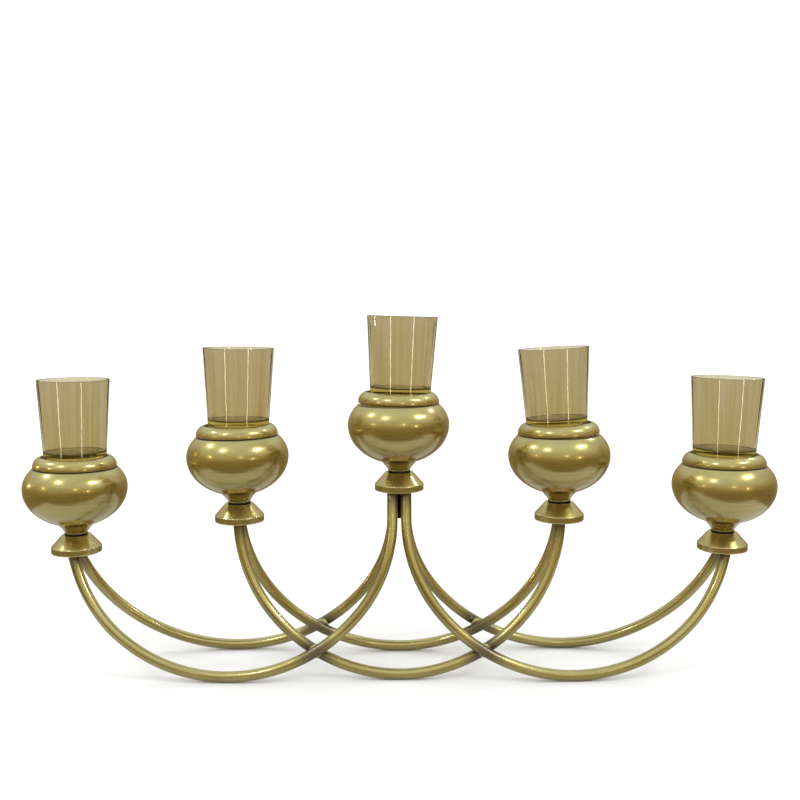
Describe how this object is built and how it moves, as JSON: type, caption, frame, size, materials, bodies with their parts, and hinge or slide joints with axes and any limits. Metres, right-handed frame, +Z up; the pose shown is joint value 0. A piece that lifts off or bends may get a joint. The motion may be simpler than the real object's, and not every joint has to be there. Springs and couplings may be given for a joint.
{
  "type": "tabletop candelabra",
  "caption": "Low tabletop candelabra of splayed bent brass tubes carrying a stepped row of round bowls, each with a drop-in collar and a loose smoke-glass votive.",
  "frame": {"origin": "on the table, below the middle of the row: centre of the bounding box bottom", "axes": "+X along the row of cups to the right, -Y the front, +Z up"},
  "size_m": [0.7024, 0.0982, 0.3313],
  "materials": {
    "antique_brass": "satin antique brass, brushed round each turned piece and along each tube, lightly lacquered",
    "braze_filler": "cleaned brazing fillet, slightly brighter than the tubes",
    "smoke_glass": "clear amber-smoke glass, faint vertical optic ribs",
    "black_steel": "blackened steel",
    "plated_steel": "zinc plated",
    "black_fibre": "matt black fibre washer"
  },
  "bodies": {
    "root": {"left_front_arm": "antique_brass", "middle_front_arm": "antique_brass", "right_front_arm": "antique_brass", "left_rear_arm": "antique_brass", "middle_rear_arm": "antique_brass", "right_rear_arm": "antique_brass", "left_front_braze": "braze_filler", "right_front_braze": "braze_filler", "left_rear_braze": "braze_filler", "right_rear_braze": "braze_filler", "far_left_tube_plate": "black_steel", "far_left_stud": "black_steel", "far_left_ferrule": "antique_brass", "far_left_neck_washer": "black_fibre", "far_left_bowl": "antique_brass", "far_left_nut_washer": "plated_steel", "far_left_nut": "plated_steel", "near_left_tube_plate": "black_steel", "near_left_stud": "black_steel", "near_left_ferrule": "antique_brass", "near_left_neck_washer": "black_fibre", "near_left_bowl": "antique_brass", "near_left_nut_washer": "plated_steel", "near_left_nut": "plated_steel", "centre_tube_plate": "black_steel", "centre_stud": "black_steel", "centre_ferrule": "antique_brass", "centre_neck_washer": "black_fibre", "centre_bowl": "antique_brass", "centre_nut_washer": "plated_steel", "centre_nut": "plated_steel", "near_right_tube_plate": "black_steel", "near_right_stud": "black_steel", "near_right_ferrule": "antique_brass", "near_right_neck_washer": "black_fibre", "near_right_bowl": "antique_brass", "near_right_nut_washer": "plated_steel", "near_right_nut": "plated_steel", "far_right_tube_plate": "black_steel", "far_right_stud": "black_steel", "far_right_ferrule": "antique_brass", "far_right_neck_washer": "black_fibre", "far_right_bowl": "antique_brass", "far_right_nut_washer": "plated_steel", "far_right_nut": "plated_steel"},
    "far_left_collar": {"far_left_collar": "antique_brass"},
    "far_left_glass": {"far_left_glass": "smoke_glass"},
    "near_left_collar": {"near_left_collar": "antique_brass"},
    "near_left_glass": {"near_left_glass": "smoke_glass"},
    "centre_collar": {"centre_collar": "antique_brass"},
    "centre_glass": {"centre_glass": "smoke_glass"},
    "near_right_collar": {"near_right_collar": "antique_brass"},
    "near_right_glass": {"near_right_glass": "smoke_glass"},
    "far_right_collar": {"far_right_collar": "antique_brass"},
    "far_right_glass": {"far_right_glass": "smoke_glass"}
  },
  "joints": [
    {"name": "far_left_collar_lift", "type": "slide", "parent": "root", "child": "far_left_collar", "axis": [0, 0, 1], "range_m": [0, 0.04]},
    {"name": "far_left_glass_lift", "type": "slide", "parent": "far_left_collar", "child": "far_left_glass", "axis": [0, 0, 1], "range_m": [0, 0.1]},
    {"name": "near_left_collar_lift", "type": "slide", "parent": "root", "child": "near_left_collar", "axis": [0, 0, 1], "range_m": [0, 0.04]},
    {"name": "near_left_glass_lift", "type": "slide", "parent": "near_left_collar", "child": "near_left_glass", "axis": [0, 0, 1], "range_m": [0, 0.1]},
    {"name": "centre_collar_lift", "type": "slide", "parent": "root", "child": "centre_collar", "axis": [0, 0, 1], "range_m": [0, 0.04]},
    {"name": "centre_glass_lift", "type": "slide", "parent": "centre_collar", "child": "centre_glass", "axis": [0, 0, 1], "range_m": [0, 0.1]},
    {"name": "near_right_collar_lift", "type": "slide", "parent": "root", "child": "near_right_collar", "axis": [0, 0, 1], "range_m": [0, 0.04]},
    {"name": "near_right_glass_lift", "type": "slide", "parent": "near_right_collar", "child": "near_right_glass", "axis": [0, 0, 1], "range_m": [0, 0.1]},
    {"name": "far_right_collar_lift", "type": "slide", "parent": "root", "child": "far_right_collar", "axis": [0, 0, 1], "range_m": [0, 0.04]},
    {"name": "far_right_glass_lift", "type": "slide", "parent": "far_right_collar", "child": "far_right_glass", "axis": [0, 0, 1], "range_m": [0, 0.1]}
  ]
}
